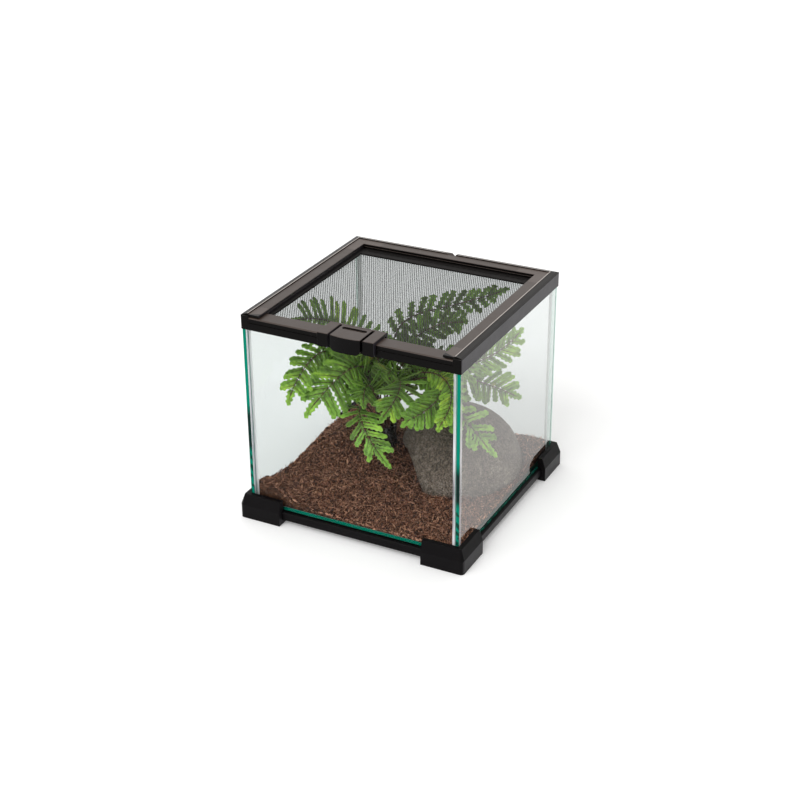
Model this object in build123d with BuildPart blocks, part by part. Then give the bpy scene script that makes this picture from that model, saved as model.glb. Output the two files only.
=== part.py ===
from build123d import *
import os
from math import exp

os.makedirs("parts", exist_ok=True)

# Small glass terrarium with a sliding screen lid. Millimetres, +Z up.
# Origin: centre of the footprint, on the surface that the feet stand on.
# The front, with the latch, faces -Y.

# ---------------------------------------------------------------- dimensions
frame_half = 100.0          # half width and half depth of the top frame
glass_out = 99.0            # outer faces of the glass box
glass_t = 3.1               # sheet thickness
bond = 0.3                  # silicone bond line between panes
glass_z0 = 6.5              # lower ends of the wall panes
glass_z1 = 183.0            # upper ends of the wall panes
front_glass_z1 = 182.0
floor_z0, floor_z1 = 11.0, 14.0

foot_out = 106.5            # outer faces of the feet
foot_in = 92.0
foot_arm = 67.5             # a foot runs from here to the corner
foot_h = 22.0
foot_shoulder = 12.5        # above this the outer faces lean in
foot_lean = 3.3

rail_out = 102.0            # base rails
rail_z0, rail_z1 = 4.7, 11.9

band_z0 = 177.5             # lower edge of the top frame
crest_z = 191.6             # highest line of the top frame
ledge_z = 190.8             # flat ledge inside the crest
ledge_in = 83.4             # inner edge of the ledge
front_seam = 81.2           # front corner blocks end here along the sides
back_seam = 66.5            # back corner blocks end here on both arms

bar_top = 188.2             # top of the lid's front bar
bar_rear = -84.8
bar_half = 92.3
runner_in, runner_out = 84.0, 92.3
runner_z0, runner_z1 = 184.5, 188.3
lid_rear = 92.2
screen_half = 80.2          # clear opening of the screen, half width
screen_back = 72.0
screen_z0, screen_z1 = 184.3, 184.7

cheek_in, cheek_out = 15.8, 25.7    # latch housing
housing_top = 191.0
housing_rear = -80.5
tongue_half = 13.6
tongue_rear = -82.8
tongue_z0 = 188.6

fern_x, fern_y = -31.0, 20.0
fern_top = 50.0

cave_x, cave_y, cave_z = 37.1, 33.8, 14.0
cave_a, cave_b, cave_c = 57.3, 60.7, 59.6
cave_wall = 5.0
cave_turn = 12.3            # degrees the first axis is turned from X


def save(piece, name):
    piece.part.label = name
    export_step(piece.part, f"parts/{name}.step")
    return piece


def straight(profile, sign, along, start, end):
    """A rail of one section. profile holds (distance from centre, height)."""
    base = Plane.YZ.offset(start) if along == "x" else Plane.XZ.offset(-end)
    with BuildPart() as bar:
        with BuildSketch(base):
            with BuildLine():
                Polyline([(sign * d, z) for d, z in profile], close=True)
            make_face()
        extrude(amount=end - start)
    return bar


# --------------------------------------------------------------- glass panes
side_len = 2 * glass_out - glass_t - bond
side_mid = -glass_out + side_len / 2
for name, sx in (("pane_left", -1), ("pane_right", 1)):
    with BuildPart() as pane:
        with BuildSketch(Plane.XY.offset(glass_z0)):
            with Locations((sx * (glass_out - glass_t / 2), side_mid)):
                Rectangle(glass_t, side_len)
        extrude(amount=glass_z1 - glass_z0)
        chamfer(pane.edges().filter_by(Axis.Z), 0.3)
    save(pane, name)

with BuildPart() as pane_back:
    with BuildSketch(Plane.XY.offset(glass_z0)):
        with Locations((0, glass_out - glass_t / 2)):
            Rectangle(2 * glass_out, glass_t)
    extrude(amount=glass_z1 - glass_z0)
    chamfer(pane_back.edges().filter_by(Axis.Z), 0.3)
save(pane_back, "pane_back")

inner = glass_out - glass_t          # inner faces of the wall panes, 95.9
with BuildPart() as pane_front:
    with BuildSketch(Plane.XY.offset(glass_z0)):
        with Locations((0, -(glass_out - glass_t / 2))):
            Rectangle(2 * (inner - bond), glass_t)
    extrude(amount=front_glass_z1 - glass_z0)
    chamfer(pane_front.edges().filter_by(Axis.Z), 0.3)
save(pane_front, "pane_front")

with BuildPart() as pane_floor:
    with BuildSketch(Plane.XY.offset(floor_z0)):
        Rectangle(2 * (inner - bond), 2 * (inner - bond))
    extrude(amount=floor_z1 - floor_z0)
    chamfer(pane_floor.edges().filter_by(Axis.Z), 0.5)
save(pane_floor, "pane_floor")

# beads of silicone in the four upright inside corners
bead = 3.0
edge = inner - 0.05
with BuildPart() as silicone_beads:
    with BuildSketch(Plane.XY.offset(floor_z1 + 0.05)):
        for sx in (-1, 1):
            for sy in (-1, 1):
                with BuildLine():
                    corner = (sx * edge, sy * edge)
                    a = (sx * (edge - bead), sy * edge)
                    b = (sx * edge, sy * (edge - bead))
                    dip = (sx * (edge - 0.36 * bead), sy * (edge - 0.36 * bead))
                    Line(corner, a)
                    ThreePointArc(a, dip, b)
                    Line(b, corner)
                make_face()
    extrude(amount=177.0 - floor_z1)
save(silicone_beads, "silicone_beads")

# ---------------------------------------------------------------- base rails
base_section = [
    (rail_out, rail_z0), (rail_out, rail_z1 - 0.8), (rail_out - 0.8, rail_z1),
    (glass_out + 0.1, rail_z1), (glass_out + 0.1, glass_z0),
    (inner - 0.1, glass_z0), (inner - 0.1, floor_z0), (foot_in, floor_z0),
    (foot_in, rail_z0),
]
save(straight(base_section, -1, "x", -foot_arm, foot_arm), "base_rail_front")
save(straight(base_section, 1, "x", -foot_arm, foot_arm), "base_rail_back")
save(straight(base_section, -1, "y", -foot_arm, foot_arm), "base_rail_left")
save(straight(base_section, 1, "y", -foot_arm, foot_arm), "base_rail_right")

# ---------------------------------------------------------------------- feet
# L-shaped corner feet. Straight up to the shoulder, then leaning in.
for name, sx, sy in (
    ("foot_front_left", -1, -1), ("foot_front_right", 1, -1),
    ("foot_back_left", -1, 1), ("foot_back_right", 1, 1),
):
    with BuildPart() as foot:
        with BuildSketch():
            with BuildLine():
                Polyline([
                    (sx * foot_arm, sy * foot_out), (sx * foot_out, sy * foot_out),
                    (sx * foot_out, sy * foot_arm), (sx * foot_in, sy * foot_arm),
                    (sx * foot_in, sy * foot_in), (sx * foot_arm, sy * foot_in),
                ], close=True)
            make_face()
        extrude(amount=foot_h)
        fillet(
            foot.edges().filter_by(Axis.Z).sort_by_distance(
                (sx * foot_out, sy * foot_out, foot_h / 2))[0], 3.5)
        split(bisect_by=Plane(origin=(sx * foot_out, 0, foot_shoulder),
                              z_dir=(sx * (foot_h - foot_shoulder), 0, foot_lean)),
              keep=Keep.BOTTOM)
        split(bisect_by=Plane(origin=(0, sy * foot_out, foot_shoulder),
                              z_dir=(0, sy * (foot_h - foot_shoulder), foot_lean)),
              keep=Keep.BOTTOM)
        split(bisect_by=Plane(origin=(sx * (foot_out - 1.2), sy * (foot_out - 1.2), foot_shoulder),
                              z_dir=(sx * (foot_h - foot_shoulder), sy * (foot_h - foot_shoulder),
                                     1.45 * foot_lean)),
              keep=Keep.BOTTOM)
        # room for the glass
        with BuildSketch(Plane.XY.offset(glass_z0)):
            with Locations((sx * 69.55, sy * 69.55)):
                Rectangle(2 * (glass_out + 0.1 - 69.55), 2 * (glass_out + 0.1 - 69.55))
        extrude(amount=30, mode=Mode.SUBTRACT)
        # inner step that carries the floor pane
        with BuildSketch(Plane.XY.offset(glass_z0)):
            with BuildLine():
                Polyline([
                    (sx * foot_arm, sy * (inner - 0.1)), (sx * (inner - 0.1), sy * (inner - 0.1)),
                    (sx * (inner - 0.1), sy * foot_arm), (sx * foot_in, sy * foot_arm),
                    (sx * foot_in, sy * foot_in), (sx * foot_arm, sy * foot_in),
                ], close=True)
            make_face()
        extrude(amount=floor_z0 - glass_z0)
    save(foot, name)

# ----------------------------------------------------------------- top frame
# Section: thin skirt outside the glass, sloped shoulder with a fine step, crest,
# flat ledge, then the channel that the lid slides in, and the glass slot.
slope = [
    (frame_half, 189.6), (99.4, 190.0), (98.7, 190.05), (98.5, 190.35),
    (94.6, 191.22), (94.3, crest_z), (93.4, crest_z), (93.1, ledge_z),
]
top_section = [(glass_out + 0.1, band_z0), (frame_half, band_z0)] + slope + [
    (ledge_in + 0.3, ledge_z), (ledge_in, ledge_z - 0.3), (ledge_in, 188.9),
    (93.0, 188.9), (93.0, 183.8), (88.0, 183.8), (88.0, 182.4), (93.9, 182.4),
    (93.9, 178.2), (inner - 0.3, 178.2), (inner - 0.3, 183.2), (glass_out + 0.1, 183.2),
]
save(straight(top_section, -1, "y", -front_seam, back_seam), "top_rail_left")
save(straight(top_section, 1, "y", -front_seam, back_seam), "top_rail_right")

with BuildPart() as top_rail_back:
    with BuildSketch(Plane.YZ.offset(-back_seam)):
        with BuildLine():
            Polyline(top_section, close=True)
        make_face()
    extrude(amount=2 * back_seam)
    # V notch for a probe lead: a shallow ramp in the ledge, deeper behind the crest
    with BuildSketch(Plane.XZ.offset(-101.0)):
        with BuildLine():
            Polyline([(-4.7, 192.2), (-2.2, 189.6), (2.83, 189.6), (4.7, 192.2)], close=True)
        make_face()
    extrude(amount=9.5, mode=Mode.SUBTRACT)
    with BuildSketch(Plane.XZ.offset(-101.0)):
        with BuildLine():
            Polyline([(-4.7, 192.2), (0.1, 187.2), (1.1, 187.2), (4.7, 192.2)], close=True)
        make_face()
    extrude(amount=6.8, mode=Mode.SUBTRACT)
save(top_rail_back, "top_rail_back")

front_section = [
    (glass_out + 0.1, band_z0), (frame_half, band_z0), (frame_half, 183.4),
    (frame_half - 0.3, 183.7), (93.9, 183.7), (93.9, 178.2), (inner - 0.3, 178.2),
    (inner - 0.3, 182.2), (glass_out + 0.1, 182.2),
]
save(straight(front_section, -1, "x", -92.6, 92.6), "top_rail_front")

# back corner blocks: the same section, mitred round the corner
for name, sx in (("top_corner_back_left", -1), ("top_corner_back_right", 1)):
    with BuildPart() as corner_back:
        with BuildLine() as path:
            Polyline([(sx * 95, back_seam, 0), (sx * 95, 95, 0), (sx * back_seam, 95, 0)])
        with BuildSketch(Plane.XZ.offset(-back_seam)):
            with BuildLine():
                Polyline([(sx * d, z) for d, z in top_section], close=True)
            make_face()
        sweep(path=path.line, transition=Transition.RIGHT)
        upright = corner_back.edges().filter_by(Axis.Z).sort_by_distance(
            (sx * frame_half, frame_half, 183))[0]
        fillet(upright, 1.6)
    save(corner_back, name)

# front corner blocks: the channel runs out to the front, beside a closed post
web = [(93.0, band_z0), (frame_half, band_z0)] + slope + [(93.1, 190.0), (93.0, 188.9)]
for name, sx in (("top_corner_front_left", -1), ("top_corner_front_right", 1)):
    with BuildPart() as corner_front:
        with BuildSketch(Plane.XZ.offset(front_seam)):
            with BuildLine():
                Polyline([(sx * d, z) for d, z in top_section], close=True)
            make_face()
        extrude(amount=93.8 - front_seam)
        with BuildSketch(Plane.XZ.offset(93.8)):
            with BuildLine():
                Polyline([(sx * d, z) for d, z in web], close=True)
            make_face()
        extrude(amount=98.2 - 93.8)
        with BuildSketch(Plane.XZ.offset(93.8)):
            with Locations((sx * (ledge_in + 93.2) / 2, (188.9 + ledge_z) / 2)):
                Rectangle(93.2 - ledge_in, ledge_z - 188.9)
        extrude(amount=98.4 - 93.8)
        with BuildSketch(Plane.XZ.offset(98.0)):
            with Locations((sx * 96.3, (band_z0 + 189.7) / 2)):
                Rectangle(7.4, 189.7 - band_z0)
        extrude(amount=2.0)
        fillet(
            corner_front.edges().filter_by(Axis.Z).sort_by_distance(
                (sx * frame_half, -frame_half, 183))[0], 1.6)
        # slot for the side pane, then for the end of the front pane
        with BuildSketch(Plane.XY.offset(170)):
            with Locations((sx * (glass_out + 0.1 + inner - 0.3) / 2, -90.0)):
                Rectangle(glass_out + 0.1 - (inner - 0.3), 2 * (glass_out + 0.1 - 90.0))
        extrude(amount=13.2, mode=Mode.SUBTRACT)
        with BuildSketch(Plane.XY.offset(170)):
            with Locations((sx * 93.0, -(glass_out + 0.1 + inner - 0.3) / 2)):
                Rectangle(6.0, glass_out + 0.1 - (inner - 0.3))
        extrude(amount=12.2, mode=Mode.SUBTRACT)
    save(corner_front, name)

# ----------------------------------------------------------------------- lid
with BuildPart() as lid_front_bar:
    with BuildSketch(Plane.YZ.offset(-bar_half)):
        with BuildLine():
            Polyline([(-99.8, 184.1), (-99.8, 187.4), (-98.9, bar_top), (bar_rear - 0.4, bar_top),
                      (bar_rear, bar_top - 0.4), (bar_rear, 184.1)], close=True)
        make_face()
    extrude(amount=2 * bar_half)
save(lid_front_bar, "lid_front_bar")

for name, sx in (("lid_runner_left", -1), ("lid_runner_right", 1)):
    with BuildPart() as runner:
        with BuildSketch(Plane.XY.offset(runner_z0)):
            with Locations((sx * (runner_in + runner_out) / 2, (bar_rear + lid_rear) / 2)):
                Rectangle(runner_out - runner_in, lid_rear - bar_rear)
        extrude(amount=runner_z1 - runner_z0)
        chamfer(runner.faces().sort_by(Axis.Z)[-1].edges(), 0.4)
    save(runner, name)

with BuildPart() as lid_back_bar:
    with BuildSketch(Plane.XY.offset(runner_z0)):
        with Locations((0, (84.0 + lid_rear) / 2)):
            Rectangle(2 * runner_in, lid_rear - 84.0)
    extrude(amount=runner_z1 - runner_z0)
    chamfer(lid_back_bar.faces().sort_by(Axis.Z)[-1].edges().filter_by(Axis.X), 0.4)
save(lid_back_bar, "lid_back_bar")

# dark inner frame that holds the screen's edge
with BuildPart() as screen_frame:
    with BuildSketch(Plane.XY.offset(screen_z1)):
        with Locations((0, (bar_rear + 84.0) / 2)):
            Rectangle(2 * runner_in, 84.0 - bar_rear)
        with Locations((0, (bar_rear + 1.5 + screen_back) / 2)):
            Rectangle(2 * screen_half, screen_back - bar_rear - 1.5, mode=Mode.SUBTRACT)
    extrude(amount=1.6)
    # shallow groove round the frame, where the screen's edge is pressed in
    with BuildSketch(Plane.XY.offset(screen_z1 + 1.6)):
        with Locations((0, (screen_back + 84.0) / 2 + 1.0)):
            Rectangle(2 * (screen_half - 4), 1.6)
    extrude(amount=-0.7, mode=Mode.SUBTRACT)
save(screen_frame, "screen_frame")

with BuildPart() as mesh_screen:
    with BuildSketch(Plane.XY.offset(screen_z0)):
        with Locations((0, (bar_rear + 0.4 + 83.4) / 2)):
            RectangleRounded(2 * 83.2, 83.4 - bar_rear - 0.4, 2.0)
    extrude(amount=screen_z1 - screen_z0)
save(mesh_screen, "mesh_screen")

# latch housing: two cheeks joined by a bridge behind the tongue
with BuildPart() as latch_housing:
    with BuildSketch(Plane.XY.offset(bar_top)):
        with Locations((0, (-104.0 + housing_rear) / 2)):
            Rectangle(2 * cheek_out, housing_rear + 104.0)
        with Locations((0, (-110.0 + tongue_rear + 0.2) / 2)):
            Rectangle(2 * cheek_in, tongue_rear + 0.2 + 110.0, mode=Mode.SUBTRACT)
    extrude(amount=housing_top - bar_top)
    with BuildSketch(Plane.XY.offset(178.9)):
        for sx in (-1, 1):
            with Locations((sx * (cheek_in + cheek_out) / 2, (-104.0 - 100.3) / 2)):
                Rectangle(cheek_out - cheek_in, 3.7)
    extrude(amount=bar_top - 178.9)
    with BuildSketch(Plane.XY.offset(186.5)):
        with Locations((0, (tongue_rear + 0.2 + housing_rear) / 2)):
            Rectangle(2 * cheek_out, housing_rear - tongue_rear - 0.2)
    extrude(amount=bar_top - 186.5)
    outer_posts = latch_housing.edges().filter_by(Axis.Z).filter_by_position(
        Axis.Y, -104.1, -103.9).sort_by(Axis.X)
    fillet([outer_posts[0], outer_posts[-1]], 0.8)
    chamfer(latch_housing.faces().sort_by(Axis.Z)[-1].edges(), 0.35)
save(latch_housing, "latch_housing")

# latch tongue: plate with a bowed front apron and a finger groove
with BuildPart() as latch_tongue:
    with BuildSketch(Plane.XY.offset(tongue_z0)):
        with BuildLine():
            Line((-tongue_half, tongue_rear), (tongue_half, tongue_rear))
            Line((tongue_half, tongue_rear), (tongue_half, -104.2))
            ThreePointArc((tongue_half, -104.2), (0, -105.7), (-tongue_half, -104.2))
            Line((-tongue_half, -104.2), (-tongue_half, tongue_rear))
        make_face()
    extrude(amount=housing_top - tongue_z0)
    with BuildSketch(Plane.XY.offset(177.4)):
        with BuildLine():
            Line((-tongue_half, -101.6), (tongue_half, -101.6))
            Line((tongue_half, -101.6), (tongue_half, -104.2))
            ThreePointArc((tongue_half, -104.2), (0, -105.7), (-tongue_half, -104.2))
            Line((-tongue_half, -104.2), (-tongue_half, -101.6))
        make_face()
    extrude(amount=tongue_z0 - 177.4)
    low = latch_tongue.edges().filter_by(Axis.Y).filter_by_position(Axis.Z, 177.3, 177.5)
    fillet(low, 4.5)
    with BuildSketch(Plane.XY.offset(housing_top)):
        with Locations((0, -87.5)):
            SlotOverall(22.0, 4.2)
    extrude(amount=-1.5, mode=Mode.SUBTRACT)
    chamfer(latch_tongue.faces().sort_by(Axis.Z)[-1].edges(), 0.3)
save(latch_tongue, "latch_tongue")

# ------------------------------------------------------------------ contents
# Hide: a domed stone shell, open underneath, with a slanted arch for a mouth.
mouth_foot = (21.5, -21.4, 31.6)
mouth_out = (-0.768, -0.585, -0.26)
with BuildPart() as hide_dome:
    Sphere(1.0)
    split(bisect_by=Plane.XY, keep=Keep.TOP)
    scale(by=(cave_a, cave_b, cave_c))
with BuildPart() as hide_hollow:
    Sphere(1.0)
    split(bisect_by=Plane.XY, keep=Keep.TOP)
    scale(by=(cave_a - cave_wall, cave_b - cave_wall, cave_c - cave_wall))
seat = Location((cave_x, cave_y, cave_z), (0, 0, cave_turn))
with BuildPart() as hide:
    add(hide_dome.part.located(seat))
    add(hide_hollow.part.located(seat), mode=Mode.SUBTRACT)
    split(bisect_by=Plane(origin=mouth_foot, z_dir=mouth_out), keep=Keep.BOTTOM)
save(hide, "hide_cave")

# Base of the artificial fern: a dark root clump, standing on the floor pane.
with BuildPart() as fern_base:
    with BuildSketch(Plane.XZ.offset(-fern_y)):
        with BuildLine():
            Polyline([(fern_x, 16), (fern_x + 12, 16), (fern_x + 12.4, 30), (fern_x + 11.6, 42),
                      (fern_x + 10.6, fern_top), (fern_x, fern_top)], close=True)
        make_face()
    revolve(axis=Axis((fern_x, fern_y, 0), (0, 0, 1)))
save(fern_base, "fern_base")

# Coir bed. Its top falls a little from the back left to the front right, is banked
# up in the front left corner and the back right corner, and heaped round the fern.
bed = inner - 0.1


def bed_height(x, y):
    level = 19.5 - 0.02 * x + 0.03 * y
    bank = 17.0 * exp(-((x + 100) ** 2 + (y + 108) ** 2) / (2 * 26.0 ** 2))
    heap = 25.0 * exp(-((x + 52) ** 2 + (y - 28) ** 2) / (2 * 23.0 ** 2))
    drift = 6.8 * exp(-((x - 100) ** 2 + (y - 100) ** 2) / (2 * 38.0 ** 2))
    return level + bank + heap + drift


grid = [-108 + 18 * i for i in range(13)]
bed_top = Face.make_surface_from_array_of_points(
    [[Vector(x, y, bed_height(x, y)) for y in grid] for x in grid], tol=0.3)
with BuildPart() as substrate:
    with BuildSketch(Plane.XY.offset(floor_z1)):
        Rectangle(2 * bed, 2 * bed)
    extrude(amount=60)
    chamfer(substrate.edges().filter_by(Axis.Z), 3.4)
    split(bisect_by=bed_top, keep=Keep.BOTTOM)
    add(hide.part, mode=Mode.SUBTRACT)
    add(fern_base.part, mode=Mode.SUBTRACT)
save(substrate, "substrate")

# Fern fronds. Each is one bent strip: a square stem that leaves the base upright,
# then a thin blade along the midrib. Start (x, y), rise, control point, tip.
fronds = [
    ((-36.9, 18.9), 108, (-52, -45, 102), (-69, -53, 86)),
    ((-34.1, 13.0), 33, (-85, 24, 168), (-77, -69, 101)),
    ((-39.0, 16.0), 27, (-38, -60, 114), (10, -52, 51)),
    ((-27.6, 25.0), 129, (-36, 47, 131), (58, 83, 172)),
    ((-30.4, 15.1), 74, (-60, 16, 161), (-90, -48, 164)),
    ((-33.7, 25.7), 47, (-9, 94, 86), (90, 42, 92)),
    ((-23.4, 24.9), 59, (44, 68, 85), (80, 65, 145)),
    ((-24.3, 16.0), 54, (46, 2, 109), (85, -3, 55)),
    ((-26.9, 18.8), 80, (65, 29, 122), (54, -47, 95)),
    ((-22.1, 20.8), 80, (70, 31, 105), (30, -64, 103)),
    ((-27.5, 12.0), 69, (21, -5, 123), (11, -67, 103)),
    ((-37.9, 23.2), 83, (-95, 20, 96), (-84, 67, 113)),
]
blade = [(2.2, 1.5), (2.2, 1.5), (2.2, 1.4), (2.2, 1.4), (4.0, 1.1), (5.6, 0.9),
         (5.9, 0.9), (6.0, 0.9), (5.9, 0.9), (5.2, 0.9), (4.2, 0.8), (1.6, 0.7)]
for index, ((sx, sy), rise, control, tip) in enumerate(fronds):
    start = (sx, sy, fern_top)
    midrib = Bezier(start, (sx, sy, fern_top + rise), control, tip)
    across = (sy - tip[1], tip[0] - sx, 0)
    with BuildPart() as frond:
        for step, (width, thick) in enumerate(blade):
            along = step / (len(blade) - 1)
            here = midrib.position_at(along, position_mode=PositionMode.PARAMETER)
            ahead = midrib.tangent_at(along, position_mode=PositionMode.PARAMETER)
            with BuildSketch(Plane(origin=here, x_dir=across, z_dir=ahead)):
                Rectangle(width, thick)
        loft(ruled=True)
    save(frond, f"fern_frond_{index + 1:02d}")
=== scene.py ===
import math

import bpy
import numpy as np
from mathutils import Matrix, Vector, noise


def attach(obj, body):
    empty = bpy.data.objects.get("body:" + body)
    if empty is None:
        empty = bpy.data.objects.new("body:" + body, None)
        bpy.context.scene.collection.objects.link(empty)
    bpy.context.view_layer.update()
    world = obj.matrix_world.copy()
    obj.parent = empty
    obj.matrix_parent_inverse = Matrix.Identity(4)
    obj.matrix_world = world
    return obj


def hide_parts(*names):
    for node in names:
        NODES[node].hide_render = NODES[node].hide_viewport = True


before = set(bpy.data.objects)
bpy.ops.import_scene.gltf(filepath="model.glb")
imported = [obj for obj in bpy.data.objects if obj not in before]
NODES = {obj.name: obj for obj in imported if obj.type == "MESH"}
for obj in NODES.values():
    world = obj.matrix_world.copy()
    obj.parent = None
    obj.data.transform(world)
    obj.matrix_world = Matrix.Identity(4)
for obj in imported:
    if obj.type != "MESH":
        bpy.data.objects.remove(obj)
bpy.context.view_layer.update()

MM = 0.001
rng = np.random.default_rng(11)

# ------------------------------------------------------------------- camera
yaw, pitch, roll = 0.4759, 0.4667, -0.0078
look = Vector((-math.sin(yaw) * math.cos(pitch), math.cos(yaw) * math.cos(pitch), -math.sin(pitch)))
side = Vector((math.cos(yaw), math.sin(yaw), 0.0))
up = side.cross(look)
cam_x = side * math.cos(roll) + up * math.sin(roll)
cam_y = up * math.cos(roll) - side * math.sin(roll)
cam_data = bpy.data.cameras.new("camera")
cam_data.lens = 1596.72 / 800 * 36
cam_data.sensor_width = 36
cam_data.sensor_fit = "HORIZONTAL"
cam_data.clip_start, cam_data.clip_end = 0.01, 30
cam = bpy.data.objects.new("camera", cam_data)
basis = Matrix((cam_x, cam_y, -look)).transposed().to_4x4()
basis.translation = Vector((0.5644981, -1.1046330, 0.7138060))
cam.matrix_world = basis
bpy.context.scene.collection.objects.link(cam)
bpy.context.scene.camera = cam
bpy.context.scene.view_settings.view_transform = "Standard"
bpy.context.scene.view_settings.look = "None"
bpy.context.scene.cycles.transparent_max_bounces = 32
bpy.context.scene.cycles.max_bounces = 10

# ------------------------------------------------------------ node helpers


class Nodes:
    """Small helper for writing node trees."""

    def __init__(self, name):
        self.mat = bpy.data.materials.new(name)
        self.mat.use_nodes = True
        self.tree = self.mat.node_tree
        self.tree.nodes.clear()
        self.out = self.tree.nodes.new("ShaderNodeOutputMaterial")

    def new(self, kind, **settings):
        n = self.tree.nodes.new(kind)
        for k, v in settings.items():
            if k.startswith("_"):
                setattr(n, k[1:], v)
            else:
                n.inputs[k.replace("__", " ")].default_value = v
        return n

    def link(self, a, b):
        self.tree.links.new(a, b)

    def coords(self):
        return self.new("ShaderNodeTexCoord").outputs["Object"]

    def noise(self, vector, scale, detail=4.0, rough=0.55, stretch=None):
        if stretch is not None:
            m = self.new("ShaderNodeMapping")
            m.inputs["Scale"].default_value = stretch
            self.link(vector, m.inputs["Vector"])
            vector = m.outputs["Vector"]
        n = self.new("ShaderNodeTexNoise", Scale=scale, Detail=detail, Roughness=rough)
        self.link(vector, n.inputs["Vector"])
        return n.outputs["Fac"]

    def ramp(self, fac, stops, mode="LINEAR"):
        r = self.new("ShaderNodeValToRGB")
        r.color_ramp.interpolation = mode
        e = r.color_ramp.elements
        while len(e) < len(stops):
            e.new(0.5)
        for el, (pos, col) in zip(e, stops):
            el.position = pos
            el.color = (*col, 1.0) if len(col) == 3 else col
        self.link(fac, r.inputs["Fac"])
        return r.outputs["Color"]

    def math(self, op, a, b=None, clamp=False):
        m = self.new("ShaderNodeMath", _operation=op, _use_clamp=clamp)
        for i, v in enumerate((a, b)):
            if v is None:
                continue
            if isinstance(v, (int, float)):
                m.inputs[i].default_value = v
            else:
                self.link(v, m.inputs[i])
        return m.outputs[0]

    def mix(self, fac, a, b, mode="MIX"):
        m = self.new("ShaderNodeMix", _data_type="RGBA", _blend_type=mode)
        for sock, v in ((m.inputs[0], fac), (m.inputs[6], a), (m.inputs[7], b)):
            if isinstance(v, (int, float)):
                sock.default_value = v
            elif isinstance(v, tuple):
                sock.default_value = (*v, 1.0)
            else:
                self.link(v, sock)
        return m.outputs[2]

    def map(self, v, a, b, c, d):
        m = self.new("ShaderNodeMapRange")
        for i, x in enumerate((a, b, c, d)):
            m.inputs[i + 1].default_value = x
        self.link(v, m.inputs[0])
        return m.outputs[0]

    def bump(self, height, strength=0.3, distance=0.0003):
        b = self.new("ShaderNodeBump", Strength=strength, Distance=distance)
        self.link(height, b.inputs["Height"])
        return b.outputs["Normal"]

    def done(self, shader):
        self.link(shader, self.out.inputs["Surface"])
        return self.mat


def plastic(name, dark, light, rough=(0.34, 0.5), grain=900.0, spec=0.5, coat=0.0, streak=None):
    """Moulded plastic: a fine grain, faint cloudy gloss changes, small scuffs."""
    n = Nodes(name)
    v = n.coords()
    cloud = n.noise(v, 35.0, 3.0, 0.5)
    fine = n.noise(v, grain, 2.0, 0.5)
    scuff = n.noise(v, 120.0, 5.0, 0.7, stretch=streak or (1.0, 1.0, 1.0))
    col = n.mix(cloud, dark, light)
    col = n.mix(n.map(scuff, 0.62, 0.8, 0.0, 0.35), col, tuple(min(1.0, 1.8 * c + 0.002) for c in light))
    p = n.new("ShaderNodeBsdfPrincipled")
    n.link(col, p.inputs["Base Color"])
    r = n.map(n.mix(0.5, cloud, scuff), 0.3, 0.7, rough[0], rough[1])
    n.link(r, p.inputs["Roughness"])
    p.inputs["Specular IOR Level"].default_value = spec
    p.inputs["Coat Weight"].default_value = coat
    p.inputs["Coat Roughness"].default_value = 0.12
    worn = n.new("ShaderNodeBevel", Radius=0.0005)
    worn.samples = 4
    b = n.new("ShaderNodeBump", Strength=0.22, Distance=0.00006)
    n.link(fine, b.inputs["Height"])
    n.link(worn.outputs[0], b.inputs["Normal"])
    n.link(b.outputs["Normal"], p.inputs["Normal"])
    return n.done(p.outputs[0])


def assign(obj, *mats):
    obj.data.materials.clear()
    for m in mats:
        obj.data.materials.append(m)


def new_object(name, verts, faces, mats, body, smooth=False, scale=MM):
    me = bpy.data.meshes.new(name)
    me.from_pydata((np.asarray(verts, float) * scale).tolist(), [], faces)
    me.validate()
    me.update()
    if smooth:
        me.polygons.foreach_set("use_smooth", [True] * len(me.polygons))
    for m in mats:
        me.materials.append(m)
    ob = bpy.data.objects.new(name, me)
    bpy.context.scene.collection.objects.link(ob)
    if body:
        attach(ob, body)
    return ob


def bake_modifiers(ob):
    """Applies an object's modifiers to its mesh."""
    dg = bpy.context.evaluated_depsgraph_get()
    dg.update()
    me = bpy.data.meshes.new_from_object(ob.evaluated_get(dg))
    old = ob.data
    ob.modifiers.clear()
    ob.data = me
    bpy.data.meshes.remove(old)
    return ob


# ---------------------------------------------------------------- black parts
# Painted light: the top, front and side materials are lit and shaded copies of one black plastic. Front faces are
# darkest (painted shade), the sides and the feet's sides lighter (painted light), and the latch's front dark (painted
# shade).
frame_top_lit_mat = plastic("frame_black_top_lit", (0.032, 0.019, 0.013), (0.052, 0.032, 0.024), (0.36, 0.48), 900, 0.5)
face_shade_mat = plastic("frame_face_shaded", (0.0022, 0.0018, 0.0017), (0.004, 0.0034, 0.0032), (0.3, 0.42), 1100, 0.06)
side_light_mat = plastic("frame_side_painted_light", (0.010, 0.008, 0.012), (0.020, 0.017, 0.022), (0.38, 0.5), 900, 0.40)
base_mat = plastic("base_black", (0.0028, 0.0024, 0.0027), (0.0052, 0.0044, 0.005), (0.36, 0.5), 1000, 0.07)
foot_side_lit = plastic("base_side_lit", (0.0060, 0.0048, 0.0062), (0.012, 0.010, 0.0125), (0.4, 0.52), 1000, 0.22)
latch_shade_mat = plastic("latch_black_shaded", (0.0018, 0.0016, 0.0016), (0.0034, 0.003, 0.003), (0.2, 0.3), 1300, 0.07)
corner_mat = plastic("corner_black", (0.052, 0.033, 0.025), (0.078, 0.053, 0.042), (0.34, 0.46), 900, 0.55)
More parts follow.
